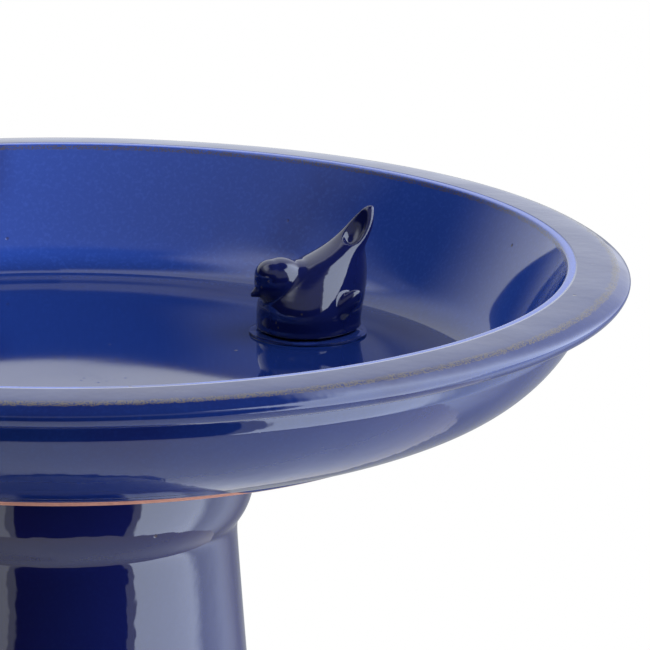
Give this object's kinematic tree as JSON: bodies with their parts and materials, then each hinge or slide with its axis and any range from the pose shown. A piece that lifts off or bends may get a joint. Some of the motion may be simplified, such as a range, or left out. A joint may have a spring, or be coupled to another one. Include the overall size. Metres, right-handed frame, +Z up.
{
  "type": "bird bath",
  "caption": "Blue glazed ceramic bird bath: a shallow bowl with a small bird figure in it, standing loose on a tapered pedestal.",
  "frame": {"origin": "on the ground, on the common axis of the pedestal and the bowl", "axes": "+Z up; the bird figure stands towards +X and +Y and looks towards -X"},
  "size_m": [0.43, 0.43, 0.5511],
  "materials": {
    "blue_glaze": "gloss",
    "bare_clay": "matte",
    "black_rubber": "matte"
  },
  "bodies": {
    "pedestal": {"pedestal": "blue_glaze"},
    "gasket": {"seat_gasket": "black_rubber"},
    "bowl": {"bowl": "blue_glaze", "locating_ring": "bare_clay", "bird_glaze_pool": "blue_glaze", "bird": "blue_glaze"}
  },
  "joints": [
    {"name": "bowl_turn", "type": "hinge", "parent": "pedestal", "child": "gasket", "pos_m": [0, 0, 0.49], "axis": [0, 0, 1], "continuous": true},
    {"name": "bowl_lift", "type": "slide", "parent": "gasket", "child": "bowl", "axis": [0, 0, 1], "range_m": [0, 0.15]}
  ]
}
